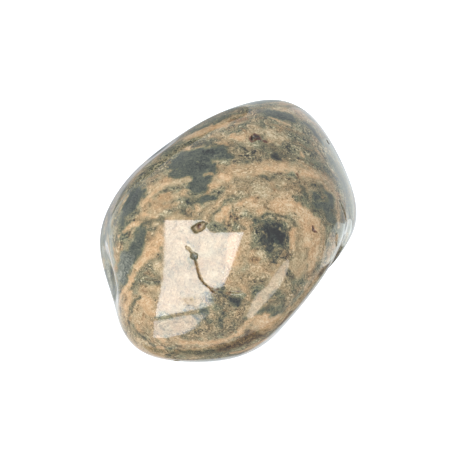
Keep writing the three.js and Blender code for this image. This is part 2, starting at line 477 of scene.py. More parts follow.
# The dark patch left of the middle, and its lobe.
stroke(MOSS, 3, (-12.8, 7.3), (-11.4, 8.4), (-9.8, 9.1), (-8.4, 9.9))
stroke(SMOKE, 0.9, (-5, 11.9), (-2.8, 12.2), (-1, 12), (0.2, 11.8))
stroke(SLATE, 2.3, (-6.6, 10.5), (-4.5, 10.7), (-2.5, 10.9), (-1, 11.1), (0, 11))
stroke(SLATE, 2.6, (-7.2, 9.6), (-5.5, 9.4), (-3.5, 9.3))
stroke(SLATE, 1.6, (-7.9, 8.2), (-6.8, 8.1), (-5.8, 8.4))
stroke(SLATE, 2.8, (-4.4, 8.6), (-4.3, 7.4))
stroke(SLATE, 3, (-4.4, 7), (-4.6, 6.1))
stroke(SLATE, 1.1, (-3.3, 7), (-2.7, 8.2), (-2.4, 9.2))
stroke(SLATE, 0.8, (-0.2, 10.6), (0.4, 10.6))
stroke(CREAM, 0.13, (-5.4, 9.95), (-4.7, 9.9), (-4, 9.75))
stroke(TAN, 0.5, (-3.5, 7.7), (-3.1, 8), (-2.7, 7.9))
stroke(CREAM, 0.2, (-6, 11.1), (-5.2, 11.35), (-4.7, 11.6))
stroke(BROWN, 0.3, (-8.4, 9.7), (-8.2, 9.5))
stroke(SMOKE, 0.5, (-10.3, 8.2), (-9.6, 8.4))

# The mottled ground right of it, and the long peach arc.
stroke(UMBER, 2.4, (0.8, 11.4), (2, 10.7), (4, 10.6))
stroke(UMBER, 1, (0.8, 9.8), (2.4, 9.5), (4.2, 9.6))
stroke(SMOKE, 0.6, (2, 9.6), (2.6, 9.5))
stroke(SMOKE, 1.4, (5, 11.8), (6.1, 11.6), (7.5, 10.9))
stroke(INK, 0.9, (6.3, 10.5), (6.8, 10.2), (7.2, 9.9))
stroke(SMOKE, 0.4, (8.4, 10), (9, 9.9))
stroke(MOSS, 2.3, (8.4, 11.7), (10, 11.3), (11.8, 10.8))
stroke(BROWN, 0.25, (10.2, 12.2), (10.8, 11.7), (11.7, 11.2))
stroke(BROWN, 0.25, (9.8, 10.2), (10.9, 9.7), (11.8, 9.2))
stroke(PEACH, 0.5, (10.1, 10.9), (10.5, 10.4))
stroke(TAN, 0.7, (12.2, 11.4), (12.9, 10.6))
stroke(TAN, 1.5, (-2, 7.4), (-1, 8.1), (1, 8.2), (3, 8.6), (5, 9), (7, 9.2), (9, 8.9), (10.2, 8.1))
stroke(TAN, 1.3, (10.2, 8.2), (12, 7.9), (13.5, 7.3), (14.5, 6.5))
stroke(PEACH, 0.9, (-1.3, 7.5), (-0.2, 7.2))
stroke(PEACH, 0.9, (4.2, 8.3), (5.8, 8.8), (7.5, 8.9), (9, 8.4))
stroke(PEACH, 0.7, (10.3, 8.1), (12.5, 7.7))
stroke(RUST, 0.2, (9.6, 7.9), (9.9, 7.4))
stroke(BROWN, 0.2, (12.9, 9.1), (13.5, 8.2), (14, 7.8))
stroke(SMOKE, 0.6, (3.9, 7.3), (4.8, 7.5), (5.6, 7.2), (6.4, 7.4))
stroke(OLIVE, 1.1, (-0.4, 6.2), (1, 6.8), (3, 6.9), (4.6, 6.8))
stroke(OLIVE, 0.9, (6.3, 6.9), (7.6, 7.4), (8.6, 7))
stroke(SMOKE, 0.4, (8.8, 6.9), (9.4, 6.6), (10.2, 6.4))
stroke(CREAM, 1.5, (3.7, 5.6), (5, 5.6))
stroke(TAN, 1.3, (6, 5), (7.4, 5.2), (8.6, 4.9))

# The cream bands on the left.
stroke(OLIVE, 1.2, (-12.4, 6.6), (-10.8, 7), (-9.8, 7.4))
stroke(CREAM, 0.7, (-5.7, 7.4), (-7, 6.8), (-8.4, 6.7), (-9.6, 6.3))
stroke(PEACH, 0.65, (-9, 6.6), (-10.6, 5.6), (-11.6, 4.7), (-12.4, 3.8))
stroke(CREAM, 0.3, (-12.4, 3.8), (-13.1, 3.2))
stroke(MOSS, 0.6, (-10, 5.5), (-8.6, 5.8), (-7, 5.9))
stroke(TAN, 0.9, (-6.2, 5.2), (-7.2, 5), (-8.5, 4.7), (-9.8, 4.2), (-10.8, 3.5), (-11.6, 2.9), (-12.5, 2.3))
stroke(SMOKE, 0.4, (-11.4, 3.9), (-11.2, 3.5))
stroke(MOSS, 1, (-5.6, 3.6), (-6.8, 3.9), (-7.8, 3.3))
stroke(TAN, 0.6, (-7.4, 3.7), (-8.7, 3.4), (-9.6, 3), (-10.6, 2.3), (-11.8, 2), (-12.7, 1.8))
stroke(PEACH, 0.5, (-11.8, 2.2), (-12.3, 2.1))
stroke(BROWN, 0.25, (-9.7, 3.6), (-9, 3.1))
stroke(MOSS, 2, (-14.5, 6.8), (-15.7, 4.4), (-16.1, 1.6), (-16.4, -1))
# Painted reflection: pale grey along the left rim, for the polish's grazing reflection there.
stroke(PAINTED_RIM_REFLECTION, 1.6, (-17, 1.4), (-16.9, -1.6), (-16.6, -4.6))
stroke(MOSS, 1.8, (-12.6, 6.2), (-13.6, 5.9), (-15, 5.4))
stroke(SLATE, 3, (-13.4, 4.8), (-13.8, 4.3), (-14.2, 3.6))
stroke(SLATE, 2, (-13.6, 4.6), (-13.9, 4.2))
stroke(SLATE, 1.8, (-14.2, 3.4), (-14.8, 2.6), (-15.2, 1.7))
stroke(SLATE, 0.7, (-15.1, 1.6), (-15.3, 1), (-15.4, 0.4))
stroke(ASH, 0.8, (-17, 3.2), (-17.2, 1.2), (-17.2, -0.6))
stroke(MOSS, 0.8, (-14.7, 1.7), (-13.8, 2.2), (-13.2, 2.6))
stroke(PEACH, 0.45, (-12.5, 1), (-13.6, 0.9), (-14.5, 0.3), (-15.3, -0.3), (-15.8, -0.9))
stroke(CREAM, 0.3, (-13, 0.6), (-13.9, 0), (-14.1, -0.8))
stroke(SMOKE, 0.7, (-12.5, 0.6), (-11.8, 1.1), (-10.8, 1.4), (-9.6, 1.3))
stroke(MOSS, 0.6, (-12.4, 0.1), (-11.5, 0.2), (-10.6, 0.3))
stroke(TAN, 0.7, (-10.3, -0.1), (-9.3, 0.4), (-8.6, 1), (-7.9, 1.6))
stroke(SMOKE, 1, (-6.6, 2.5), (-5.6, 2.2))
stroke(SMOKE, 0.9, (-5.9, 4), (-4.5, 4.2), (-3.2, 4.4))
stroke(SLATE, 0.9, (-3.9, 4), (-3, 4.3), (-2.2, 4.6))
stroke(MOSS, 0.6, (-5.9, 5.1), (-4, 4.9))

# The broad band down the left, the dark stone outside it, and pale grey painted along the left rim as its
# reflection.
stroke(SLATE, 1.9, (-12.6, -0.4), (-12.8, -1.4), (-13.5, -2.6))
stroke(SLATE, 2.1, (-13.6, -2.9), (-14.4, -4.2))
stroke(ASH, 2.1, (-14.7, -3.8), (-15, -5.2), (-15.3, -6.8))
# Painted reflection: pale grey along the left rim.
stroke(PAINTED_RIM_REFLECTION, 0.7, (-15.5, -6), (-15.9, -8))
stroke(OLIVE, 0.5, (-11.6, -0.6), (-11.8, -1.5))
stroke(MOSS, 0.6, (-13.9, -0.7), (-14.4, -1.7))
stroke(ASH, 0.7, (-17.4, -2), (-17.1, -3.6))
# Painted reflection: pale grey along the outer left rim.
stroke(PAINTED_RIM_REFLECTION, 0.9, (-18, 0.4), (-17.9, -3))
stroke(PAINTED_RIM_REFLECTION, 1.5, (-17.6, -4), (-17.3, -6), (-16.9, -8))
stroke(PEACH, 1.7, (-9.9, -1.3), (-10.7, -2.3), (-11.6, -3.2))
stroke(PEACH, 1.5, (-11.4, -3.3), (-12.2, -4.1), (-12.8, -4.9))
stroke(PEACH, 1, (-12.8, -4.9), (-13.5, -6), (-14, -6.9))
stroke(PEACH, 0.6, (-14, -6.9), (-14.8, -8.2), (-15.4, -9.3), (-15.7, -10.4))
stroke(TAN, 0.2, (-11.9, -3), (-12.9, -4.2), (-13.6, -5.6))
stroke(TAN, 0.2, (-10.7, -3.3), (-11.7, -4.4), (-12.6, -5.6))
stroke(SMOKE, 0.35, (-9.3, -2.8), (-9.9, -3.8), (-10.6, -4.8))
stroke(MOSS, 0.9, (-11.1, -5), (-12.2, -5.7), (-12.8, -6.3))
stroke(CREAM, 1.2, (-10.1, -4.9), (-9.8, -6))
stroke(TAN, 0.5, (-9.2, -1), (-9.1, -3))

# The toe, from its left edge inward.
stroke(SMOKE, 0.16, (-14.5, -6.4), (-15.1, -7.7), (-15.7, -9))
stroke(PEACH, 0.4, (-13.2, -6.3), (-13.9, -7.3), (-14.6, -8.6))
stroke(SMOKE, 0.45, (-12.9, -6.6), (-13.7, -7.6), (-14.4, -8.8))
stroke(PEACH, 0.9, (-14.1, -8.9), (-14.3, -10), (-14.8, -11))
stroke(TAN, 0.6, (-15.2, -10.4), (-15.3, -12), (-15.1, -13.6))
stroke(MOSS, 1.5, (-12.4, -6.9), (-11, -7.2), (-10.3, -7.1))
stroke(MOSS, 0.7, (-13.1, -8), (-13.5, -9))
stroke(BROWN, 0.2, (-11.8, -7), (-10.9, -7.1), (-10.2, -6.9))
stroke(TAN, 1, (-12.3, -8.6), (-11.3, -9.2), (-10.6, -9.8))
stroke(RUST, 0.2, (-12.2, -8.5), (-11.9, -8.8))
stroke(TAN, 1.4, (-13, -10.8), (-13.2, -12), (-13, -13))
stroke(SMOKE, 0.45, (-12.6, -9.5), (-13.3, -10), (-13.7, -10.9),
       (-14.3, -11.6), (-14.5, -12.6), (-14.2, -13.4))
stroke(CREAM, 0.3, (-12.3, -10.8), (-12.6, -12.4))
stroke(BROWN, 0.3, (-12.1, -11.8), (-12.4, -12.8))
stroke(PEACH, 1.5, (-11.8, -10.4), (-11.2, -11.8))
stroke(BROWN, 0.4, (-10.1, -8.2), (-9.9, -9))
stroke(OLIVE, 1, (-14.3, -14), (-14.1, -15), (-13.4, -16))
stroke(TAN, 1.4, (-11.3, -13), (-11.1, -14.4))
stroke(SMOKE, 0.5, (-13.6, -13.8), (-12.6, -14.8), (-11.9, -15.6), (-11.1, -16.3), (-10.5, -16.7))
stroke(TAN, 0.6, (-14.5, -15.4), (-13.5, -16.1), (-12.6, -16.7), (-11.5, -17.4), (-9.4, -17.6))
stroke(PEACH, 0.8, (-10.3, -15.2), (-9.5, -15.6))
stroke(PEACH, 0.5, (-10.4, -16.7), (-9.6, -16.7))
stroke(PLUM, 0.4, (-8.8, -15.5), (-8.7, -15.8))
stroke(TAN, 1, (-8.2, -15.2), (-7, -15.5), (-6.2, -15.8))
stroke(SMOKE, 0.6, (-8.8, -17.8), (-7.2, -17.2), (-6, -17.4))

# The curved band along the near edge, and the dark band under it.
stroke(OLIVE, 2.2, (-5.6, -14.4), (-3.6, -14.4), (-1.8, -14.2), (0.2, -13.8))
stroke(OLIVE, 2.8, (-3, -12.6), (-1.4, -12.4), (0.4, -12.2))
stroke(OLIVE, 1.6, (0.6, -12), (2, -11.2))
stroke(PEACH, 0.75, (-7, -15.9), (-5.5, -16), (-4, -16.1), (-2.5, -16), (-1, -15.8), (0.3, -15.3))
stroke(PEACH, 0.85, (0.3, -15.3), (1.3, -14.6), (2, -13.8), (2.8, -12.9), (3.4, -12.3))
stroke(BROWN, 0.2, (-5, -15.6), (-3.5, -15.7), (-2, -15.4), (-0.6, -15),
       (0.3, -14.5), (1.2, -13.9), (1.8, -13.1))
stroke(SMOKE, 1.3, (-6, -17.5), (-3, -17.3), (-1, -17))
stroke(PLUM, 1.7, (-1, -16.9), (1, -16.2), (2.3, -15.5), (3.3, -14.6))
stroke(BROWN, 0.9, (3.1, -14.8), (3.9, -13.9))
stroke(PLUM, 1.1, (1.6, -16), (2.6, -15.6), (3.8, -15), (4.8, -14.8))
stroke(SMOKE, 0.4, (-4.6, -17.2), (-2.6, -17.2))
stroke(PEACH, 0.9, (0.5, -17.5), (2, -17.1), (3.5, -16.4), (5, -15.6), (6.2, -14.8))
stroke(TAN, 3, (4.2, -13.4), (5.6, -13.8), (7, -13))
stroke(PEACH, 2.1, (4.6, -13), (5.8, -13.2), (6.8, -12.7))
stroke(PEACH, 1.1, (3.8, -12.2), (5, -12.2))

# The dark spots and the warm ground between the crack and the near edge.
stroke(TAN, 1.7, (0.3, -6.8), (1.4, -7.7))
stroke(TAN, 1.4, (1.9, -1.6), (1.9, -3.4), (1.2, -5))
stroke(OLIVE, 1.6, (2, -6.4), (3.6, -6.8), (5, -7.2))
stroke(OLIVE, 1.4, (-2, -9.6), (-1, -10.4))
stroke(TAN, 0.8, (1.9, -8.4), (2.6, -8.9), (2.6, -9.7))
stroke(INK, 1.3, (0.4, -10), (1, -10.2))
stroke(BROWN, 0.4, (-0.5, -9), (0.3, -9.3))
stroke(OLIVE, 0.9, (2, -10.4), (2.7, -10.9))
stroke(SMOKE, 1, (-1.1, -11.8), (-1, -12.6), (-1.5, -13.4))
stroke(SLATE, 0.9, (-4.3, -11.5), (-3.5, -11.6))
stroke(SMOKE, 0.9, (-3.3, -12.2), (-2.8, -12.8))
stroke(BROWN, 0.3, (-0.9, -11.4), (-0.3, -11.7))
stroke(CREAM, 0.4, (-3.9, -13.4), (-3.5, -13.6))
stroke(OLIVE, 0.9, (-3.7, -14.6), (-3, -14.7))

# The ground under the window's reflection.
stroke(SAND, 3.8, (-7.4, 0.4), (-7.6, -3.4), (-7.8, -6.4), (-8.2, -10.4))
stroke(SAND, 3, (-3.6, -1.4), (-3.6, -7.4))
stroke(PEACH, 1.9, (0.4, -1.6), (0.2, -4.4))
stroke(SAND, 1.8, (-1.6, -1.2), (-1.6, -4), (-1.9, -6.4))
stroke(SAND, 2.6, (-3.2, -5), (-5.6, -7.6), (-5.4, -9.6))
stroke(OLIVE, 0.8, (-7.5, -12), (-6, -11.6), (-4.6, -11.5))
stroke(SAND, 2.2, (-9.6, -13.8), (-7.4, -13.6), (-5.8, -13))

# Around the orb.
stroke(TAN, 0.8, (-3.2, 2.6), (-2.2, 3.3), (-1.2, 4.2), (-0.3, 5.3), (0.4, 6.2))
stroke(OLIVE, 0.6, (-4.5, 2.2), (-3.5, 2.9), (-2.6, 3.4))
stroke(SMOKE, 0.4, (-2.9, 1.6), (-2.2, 2.4), (-1.5, 2.9))
stroke(PEACH, 1.1, (-1.7, 1.5), (-0.8, 2.2), (-0.2, 3))
stroke(SMOKE, 0.3, (-1, 4), (-0.2, 4.2), (0.3, 3.7), (0.5, 2.8), (0.7, 2.2))
stroke(MOSS, 0.9, (-2.6, 0.4), (-1.2, 0.4))
stroke(MOSS, 0.9, (-2.3, 5.4), (-1.5, 5.1))
stroke(TAN, 1.4, (1.2, 3.4), (2.6, 3.6), (4.4, 3.8), (6.4, 3.6))
stroke(PEACH, 0.5, (1.2, 3.8), (2.2, 4.2), (3.2, 4.6))
stroke(SMOKE, 0.35, (0.5, 4.8), (0.9, 4.5))
stroke(BROWN, 0.2, (1.7, 4.2), (2.3, 4.5))
stroke(BROWN, 0.4, (5, 3.2), (6.4, 2.7))
stroke(OLIVE, 0.4, (5.2, 4.1), (5.6, 3.6))
stroke(BROWN, 0.3, (6, 5.7), (6.3, 5.5))
stroke(TAN, 1.2, (2.2, 0.9), (2.5, -0.6), (2.6, -2.2))
stroke(MOSS, 0.5, (1.7, 0.45), (2.1, 0.35))
stroke(PEACH, 1.9, (6.8, 3.7), (8.4, 3.5), (9.8, 2.9), (11, 2), (11.9, 0.8))
stroke(PEACH, 2, (11.9, 0.8), (12.1, -1), (11.9, -3), (11.3, -5))
stroke(SAND, 2.6, (10, -0.6), (10, -3), (9.7, -5.4))
stroke(PEACH, 1.4, (10.2, 1.5), (10.8, 0.2), (10.9, -1.6))
stroke(TAN, 1, (13.2, 0.4), (13.2, -1.6), (12.9, -4))
stroke(OLIVE, 2.9, (6.1, 0), (6.4, -1.8))
stroke(TAN, 0.45, (6, 1.6), (7.5, 1.4), (8.3, 0.9))
stroke(SMOKE, 0.5, (3, 0.7), (3.6, 1.3), (4.6, 1.9), (5.3, 2.2), (6.5, 2.1),
       (7.5, 2), (8.4, 1.8), (9, 1.3), (9.3, 0.5))
stroke(SLATE, 0.6, (3.5, 1.3), (4.1, 1.4))
stroke(SLATE, 0.5, (4.4, 1.3), (5.3, 0.9))
stroke(MOSS, 5, (5.9, -0.9), (6.3, -1.7))
stroke(SMOKE, 4, (6.1, -0.4), (6.4, -1.7))
stroke(SMOKE, 0.9, (4.6, -1.6), (3.7, -1.9), (3.3, -2.2))
stroke(SMOKE, 0.8, (5.4, -2.6), (5.6, -3.8), (6.2, -4.6))
stroke(SMOKE, 0.7, (7.2, -2.4), (8.1, -3.3))
stroke(SMOKE, 0.6, (7.6, -0.2), (8.6, 0.2))
stroke(SMOKE, 0.6, (5, 0.8), (4.3, 1.2), (3.6, 1.5))
stroke(INK, 2.4, (6, -0.4), (6.1, -1.2))
stroke(INK, 2.2, (6.1, -0.7))
stroke(INK, 0.9, (5.2, -0.6), (4.6, -1.7), (5.2, -2.4), (6, -2.6))
stroke(INK, 0.8, (6.9, 0.5), (7.4, -0.6), (7.2, -1.8))
stroke(INK, 0.6, (5.6, 0.4), (5.1, 0.9))
stroke(TAN, 0.14, (5, -0.3), (5.35, -0.8), (5.2, -1.3))
stroke(OLIVE, 0.14, (6.2, -1.8), (6.6, -2.3))
stroke(OLIVE, 0.14, (7.1, -1.4), (7.6, -1.7))
stroke(OLIVE, 0.3, (6.9, 0.3), (7.5, -0.2), (8, -0.3))
stroke(OLIVE, 0.25, (4.7, -0.2), (5.2, -0.5))
stroke(OLIVE, 0.3, (6.8, -2.4), (7.4, -2.9), (7.6, -3.5))
stroke(MOSS, 0.5, (6.6, -2.1), (7, -2.5))
stroke(PEACH, 0.9, (8.9, -0.4), (9, -1.4), (8.9, -2.4))
stroke(CREAM, 0.8, (4.1, -3.1), (4.6, -3.5))
stroke(BROWN, 0.7, (3.3, -4.3), (3.9, -4.2))
stroke(OLIVE, 1.2, (5.4, -4.4), (5.7, -5.4))
stroke(OLIVE, 1, (7.6, -3.9), (8.8, -3.3))
stroke(TAN, 1, (3, -5.4), (4.4, -5.8))
stroke(RUST, 0.3, (11.7, 0.5), (11.9, -0.1), (12.1, -0.3))
stroke(CREAM, 0.25, (12.1, 0.7), (12.4, 0.5))
stroke(PLUM, 0.35, (9.6, -0.8), (9.9, -0.7))
stroke(OLIVE, 0.6, (10.9, -2.8), (10.9, -3.6))
stroke(OLIVE, 0.6, (10.9, -5), (10.8, -6.2), (10.8, -7.6))

# The dark patch at the right, and the right edge.
stroke(OLIVE, 1.4, (9, 5.6), (10.4, 6.4), (12, 6.6))
stroke(SMOKE, 0.8, (10.3, 6.2), (10.5, 5.5), (10.8, 5))
stroke(SMOKE, 0.8, (11.4, 6.3), (12.8, 6.2))
stroke(SMOKE, 0.4, (11, 4.4), (11.7, 3.5), (12, 2.8), (12.8, 2.4), (13.2, 2.1))
stroke(MOSS, 3, (12.7, 4.4), (13.9, 3.6), (14.2, 2.4))
stroke(SMOKE, 2, (12.9, 4.6), (13.9, 3.4), (14.3, 2.4))
stroke(SLATE, 0.9, (12.1, 4.9), (12.7, 4.6))
stroke(SLATE, 0.9, (13.6, 5.1), (14.4, 4.5))
stroke(SLATE, 1.3, (12.4, 3.6), (13.4, 3.3), (14.5, 3.7))
stroke(SLATE, 1.1, (13.7, 2.8), (14.2, 2), (14.7, 1.4))
stroke(SMOKE, 0.5, (13.5, 0.8), (13.8, 0.7))
stroke(OLIVE, 0.6, (13.2, 4.7), (13.6, 4.6))
stroke(CREAM, 0.13, (12, 4), (13.9, 3.95))
stroke(SMOKE, 0.5, (8.9, 4.7), (9.2, 4.6))
stroke(TAN, 1.1, (15, 5), (15.4, 3), (15.5, 0.6))
stroke(BROWN, 0.25, (15.3, 5.2), (15.6, 4.3), (16, 3.7))
stroke(OLIVE, 0.6, (16.2, 3.6), (16.4, 2.4), (16.4, 1.2))
stroke(PEACH, 0.5, (15.3, -0.7), (15, -1.5), (14.7, -2.3))
stroke(TAN, 0.2, (16, -1), (15.6, -2.2))
stroke(SMOKE, 0.3, (14, -1.6), (13.85, -2.4), (13.6, -3.3))
# Painted shade: a dark plum stroke along the crevice on the right underside, which is also cut as a pit,
# darkens it as if in shadow.
stroke(PLUM, 0.8, (12.8, -6.3), (13.6, -5.3), (14.6, -4.4))
stroke(SLATE, 0.25, (17.4, 4.2), (17.5, 3.2))
stroke(SLATE, 0.25, (17.5, 1.9), (17.3, 1), (17, 0.2))
stroke(SMOKE, 2, (14.4, 9.8), (15.6, 8), (16.6, 5.6))
stroke(MOSS, 0.6, (14.6, 10.6), (15.8, 8.4), (16.6, 6.6))

# The lower right, down to the near edge.
stroke(OLIVE, 1.7, (7.6, -7.4), (8.8, -8.6), (8.4, -10))
stroke(SMOKE, 0.8, (8.3, -6), (8.7, -6.6))
stroke(SLATE, 0.25, (9.05, -7.4), (9.05, -7.6))
stroke(SMOKE, 0.6, (8.9, -8.1), (9.2, -8.9))
stroke(OLIVE, 1.6, (5, -10.3), (6.4, -10.2))
stroke(SMOKE, 0.5, (5.1, -11.2), (5.9, -10.5), (7.3, -9.6), (7.6, -10.6), (7.2, -11.5))
stroke(PEACH, 0.4, (8.3, -10.5), (8.5, -10.9))
stroke(TAN, 1.6, (12, -6.8), (11, -8.4), (10.2, -9.6), (9.2, -10.8), (8.2, -11.8), (6.8, -13.2))
stroke(PEACH, 0.5, (11.4, -7), (10.4, -8.8))
stroke(SAND, 1.2, (7.7, -5), (6.7, -6.8), (5.3, -8.6), (3.8, -10.6), (2.9, -12))
stroke(PLUM, 0.7, (8.6, -11.7), (7.8, -12.6), (7.2, -13.4))

# The pits and the crack have colours of their own, with pale crystals beside them. The pale line under the
# slot and the pale fleck at the crack's lower end are painted glints.
stroke(SMOKE, 1.9, (-4.9, 0.1), (-4.2, 0.6))
stroke(TAN, 1.1, (-4.9, 0.1), (-4.1, 0.6))
stroke(RUST, 0.45, (-4.6, 0.4), (-4.4, 0.7))
stroke(RUST, 1, (2.9, 12.9), (3.7, 13.1))
stroke(RUST, 0.45, (3.9, 12.8), (5.1, 12.65))
stroke(INK, 0.6, (3.1, 13.1), (3.8, 13.1))
stroke(TAN, 0.3, (-6.4, -2.3), (-5.7, -3.3), (-5.2, -4.2))
stroke(BROWN, 0.3, (-5.2, -4.2), (-4.9, -5), (-4.7, -6), (-4.2, -6.9), (-3.6, -7.6), (-2.9, -8.1))
stroke(ASH, 0.9, (-4.9, -3.7), (-4.8, -4))
stroke(BROWN, 0.5, (-2.8, -8), (-2.7, -8.9), (-1.9, -8.5))
stroke(PLUM, 0.35, (-2.4, -8.7), (-1.7, -8.4))
# Painted highlight: white glints at the crack's lower end.
stroke(CREAM, 0.2, (-2, -7.7), (-1.5, -8.1))
stroke(RUST, 0.25, (0.1, -9), (0.8, -8.7), (1.5, -8.4))
# Painted highlight: a pale line under the slot's rust, for the glint along its edge.
stroke(CREAM, 0.22, (0.5, -9.1), (1.1, -8.95), (1.7, -8.8))
stroke(CREAM, 0.25, (-6, -1.9), (-5.6, -2.6), (-5.3, -2.4))
stroke(INK, 0.16, (-5.9, -1.3), (-5.8, -1.7), (-6.4, -2.3), (-6.3, -2.8), (-5.7, -3.5))
stroke(CREAM, 0.3, (-6, -2), (-5.5, -2.2), (-5.3, -2.9))
stroke(INK, 0.14, (-5.2, -4.7), (-4.9, -5.6), (-4.6, -6.4), (-4, -7.3), (-3.3, -7.8))
stroke(CREAM, 0.22, (-5.6, -3), (-5.1, -3.2), (-4.8, -3.5))
stroke(SMOKE, 0.14, (-5.9, -2.9), (-5.2, -2.9), (-4.6, -3.3), (-4.3, -3.9))
stroke(SMOKE, 0.12, (-3.3, -7), (-2.6, -7.3), (-2, -7.3))
stroke(SMOKE, 0.2, (-6.1, -1.2), (-5.9, -1.8), (-5.5, -2.1))
stroke(CREAM, 0.5, (1, 2.9), (1.2, 2.8))
stroke(SMOKE, 0.4, (-16.6, -6.2), (-16.5, -7), (-16.4, -7.7))

# A pit counts as fully deep from this many millimetres on.
FULLY_DEEP = 0.4


def mesh_of(name, shape):
    """The mesh of a finished shape."""
    made = bpy.data.meshes.new(name)
    shape.to_mesh(made)
    shape.free()
    return made


stone_mesh = mesh_of("polished_stone", pebble)
measures = dict(zip(("tone", "warmth", "moss", "rust"), pattern.T))
measures["strata"] = strata
measures["cavity"] = np.clip(cavity / FULLY_DEEP, 0, 1)
for name, values in measures.items():
    measure = stone_mesh.attributes.new(name, "FLOAT", "POINT")
    measure.data.foreach_set("value", values.astype(np.float32))
stone = put_in_scene("polished_stone", stone_mesh)


# The polished jasper
# The paints above are only where each colour grows, and where a few strokes paint light and shade. Here
# they become colour: fine moss, streaks along the strata and thin dark threads shift the tone, and scales
# of green, peach and grey turn it into stone. The surface is polished to a shine, a little worn, and rough
# in the pits, where fine crystals line it.
LIGHT_LEVEL = 1.9
POLISH_HAZE = 0.05
DARKEST_LEVEL = 0.004
# How a screen's levels, out of 255, stand to light.
SCREEN_WHITE = 255
SCREEN_TOE = 0.055
SCREEN_POWER = 2.4


def seen_as(red, green, blue):
    """The stone's own colour where it is to look like this, out of 255, in the light of this scene."""
    levels = []
    for level in (red, green, blue):
        share = level / SCREEN_WHITE
        linear = ((share + SCREEN_TOE) / (1 + SCREEN_TOE)) ** SCREEN_POWER
        levels.append(max(DARKEST_LEVEL, (linear - POLISH_HAZE) / LIGHT_LEVEL))
    return (*levels, 1)


# How the stone looks at places along each scale, from dark at nothing to pale at one.
GREEN_SCALE = [(0, (50, 56, 47)), (0.12, (86, 93, 87)), (0.3, (110, 111, 93)), (0.45, (136, 134, 108)),
               (0.6, (163, 157, 128)), (0.78, (195, 186, 154)), (1, (224, 214, 185))]
PEACH_SCALE = [(0, (52, 38, 34)), (0.15, (86, 70, 60)), (0.32, (128, 106, 84)), (0.48, (165, 132, 98)),
               (0.64, (196, 159, 120)), (0.82, (218, 180, 138)), (1, (236, 210, 174))]
GREY_SCALE = [(0, (52, 58, 56)), (0.3, (112, 117, 112)), (0.6, (164, 167, 161)), (1, (226, 226, 219))]
DARK_RUST = seen_as(58, 26, 22)
PALE_RUST = seen_as(118, 56, 40)
CRYSTAL = seen_as(190, 176, 145)
# The grey scale takes over below a warmth of nothing, at this pace.
GREY_PACE = -1.2
# How strongly each noise works, and the noise above which flecks begin.
WARM_GAIN = 1.1
THREAD_SHARPNESS = 45
FLECK_SHARPNESS = 9
FLECK_START = 0.56
CRYSTAL_SHARPNESS = 3
JASPER_IOR = 1.55
POLISH_ROUGHNESS = 0.05
WEAR_ROUGHNESS = 0.1
PIT_ROUGHNESS = 0.4
RELIEF_DEPTH = 0.02
RELIEF_STRENGTH = 0.12
CRYSTAL_RELIEF = 6
# Where a node that mixes keeps its two colours and their mix, among its sockets.
FIRST_COLOUR = 6
SECOND_COLOUR = 7
MIXED_COLOUR = 2


def new_finish(name):
    """A new material and its shader."""
    made = bpy.data.materials.new(name)
    made.use_nodes = True
    return made, made.node_tree.nodes["Principled BSDF"]


jasper, shader = new_finish("polished_jasper")
tree = jasper.node_tree


def node(kind, **settings):
    """A new node of the stone's material, with its settings."""
    made = tree.nodes.new(kind)
    for setting, value in settings.items():
        setattr(made, setting, value)
    return made


def feed(value, socket):
    """Puts a number, a colour or another node's output on a socket."""
    if isinstance(value, bpy.types.NodeSocket):
        tree.links.new(value, socket)
    else:
        socket.default_value = value


def math_node(operation, first, second=0.0, third=0.0, clamp=False):
    """A number worked out from others: each is plain, or another node's output."""
    made = node("ShaderNodeMath", operation=operation, use_clamp=clamp)
    for value, socket in zip((first, second, third), made.inputs):
        feed(value, socket)
    return made.outputs[0]


def measure_of(name):
    """A measure that the stone's mesh carries."""
    return node("ShaderNodeAttribute", attribute_name=name).outputs["Fac"]


def scaled(vector, factor):
    """A place times a factor."""
    made = node("ShaderNodeVectorMath", operation="SCALE")
    feed(vector, made.inputs[0])
    made.inputs["Scale"].default_value = factor
    return made.outputs[0]


def noise_of(vector, layer, **settings):
    """Noise in the stone. Layer is a fourth place: a plain number there only sets one noise off another."""
    made = node("ShaderNodeTexNoise", noise_dimensions="4D")
    feed(vector, made.inputs["Vector"])
    feed(layer, made.inputs["W"])
    for setting, value in settings.items():
        made.inputs[setting.capitalize()].default_value = value
    return made.outputs["Fac"]


def scale_of(stops, position):
    """The colour at a position on a scale of colours, which runs from nothing to one."""
    made = node("ShaderNodeValToRGB")
    ramp = made.color_ramp
    for place, _ in stops[1:-1]:
        ramp.elements.new(place)
    for element, (_, colour) in zip(ramp.elements, stops):
        element.color = seen_as(*colour)
    feed(position, made.inputs[0])
    return made.outputs["Color"]


def blend(share, first, second):
    """The first colour, with this share of the second in it."""
    made = node("ShaderNodeMix", data_type="RGBA")
    feed(share, made.inputs["Factor"])
    feed(first, made.inputs[FIRST_COLOUR])
    feed(second, made.inputs[SECOND_COLOUR])
    return made.outputs[MIXED_COLOUR]


millimetres = scaled(node("ShaderNodeTexCoord").outputs["Object"], 1 / MM)
tone_here, warmth_here, moss_here, rust_here, strata_here, cavity_here = map(measure_of, measures)


def along_strata(pull):
    """A fourth place that follows the strata: the harder the pull, the thinner the noise's layers."""
    return math_node("MULTIPLY", strata_here, pull)


def swing_of(grain, gain, middle=0.5, clamp=False):
    """How far a noise is from its middle, times a gain."""
    return math_node("MULTIPLY", math_node("SUBTRACT", grain, middle), gain, clamp=clamp)


def gain_of(mossy, plain=0.0):
    """A gain that is plain everywhere, with the mossy gain on top of it where moss grows."""
    return math_node("MULTIPLY_ADD", moss_here, mossy, plain)


